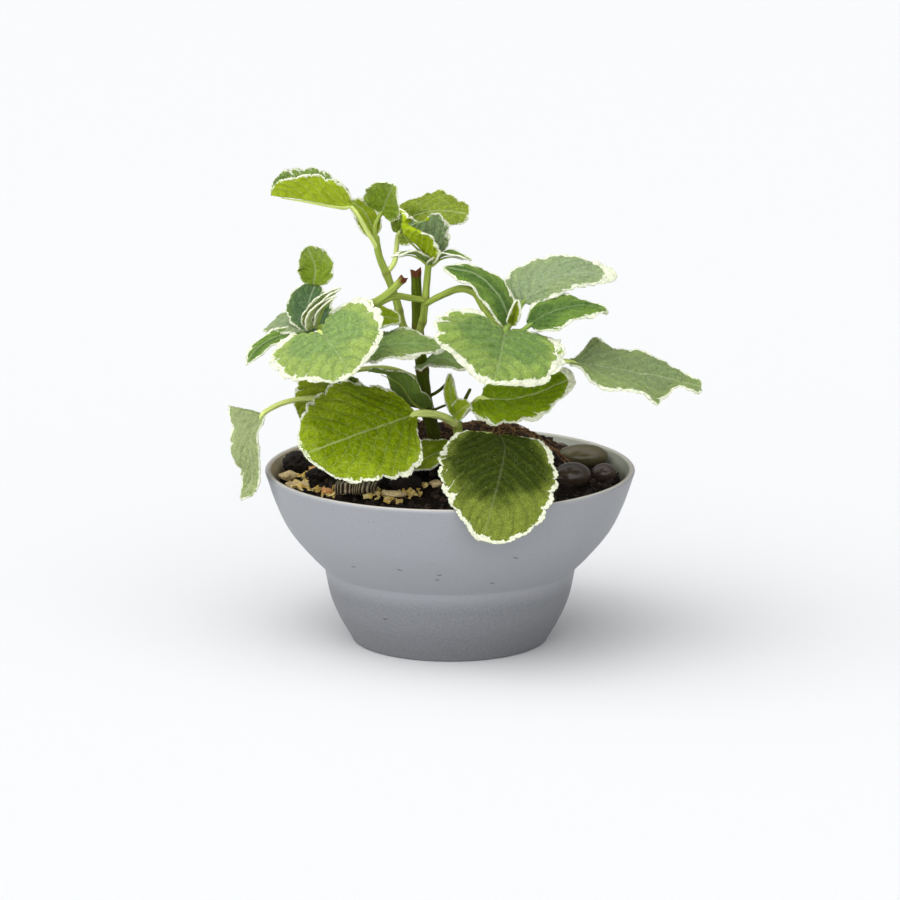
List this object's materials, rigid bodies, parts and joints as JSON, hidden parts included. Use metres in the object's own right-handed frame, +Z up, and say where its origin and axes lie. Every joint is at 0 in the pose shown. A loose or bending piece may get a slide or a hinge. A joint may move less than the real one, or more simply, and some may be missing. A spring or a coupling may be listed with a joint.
{
  "type": "potted variegated plectranthus",
  "caption": "Round-leaved cream-edged house plant with arching stems in a grey bowl pot with a stepped waist, standing on its flat foot.",
  "frame": {"origin": "centre of the pot's flat foot, where it rests", "axes": "+Z up, -Y towards the front of the plant, +X to its right seen from the front"},
  "size_m": [0.2274, 0.195, 0.2313],
  "materials": {
    "pot": "matte grey",
    "soil": "damp, crumbly",
    "pebble": "polished",
    "bark": "rough",
    "chip": "dry, split",
    "stem": "satin, finely hairy",
    "shoot": "satin, finely hairy",
    "leaf_sage": "finely hairy",
    "leaf_lime": "finely hairy",
    "leaf_dark": "finely hairy"
  },
  "bodies": {
    "root": {"pot": "pot", "soil": "soil", "pebble_olive": "pebble", "pebble_dark": "pebble", "pebble_plum": "pebble", "pebble_back": "pebble", "bark_lump_left": "bark", "bark_lump_inner": "bark", "bark_lump_front": "bark", "dried_husk": "chip", "wood_chip_amber": "chip", "wood_chip_left": "chip", "wood_chip_cream": "chip", "wood_chip_small": "chip", "wood_chip_centre": "chip", "wood_chip_pale": "chip", "main_stem": "stem", "shoot_front": "shoot", "shoot_top_centre": "shoot", "shoot_top_left": "shoot", "shoot_left": "shoot", "shoot_right": "shoot", "leaf_right_front": "leaf_lime", "leaf_right_side": "leaf_sage", "leaf_right_back": "leaf_sage", "leaf_right_far": "leaf_sage", "leaf_left_front": "leaf_sage", "leaf_left_inner": "leaf_lime", "leaf_left_behind": "leaf_dark", "leaf_left_hanging": "leaf_sage", "leaf_front_left": "leaf_lime", "leaf_front_right": "leaf_lime", "leaf_front_hanging": "leaf_dark", "leaf_top_left": "leaf_lime", "leaf_top_right": "leaf_sage"}
  },
  "joints": []
}
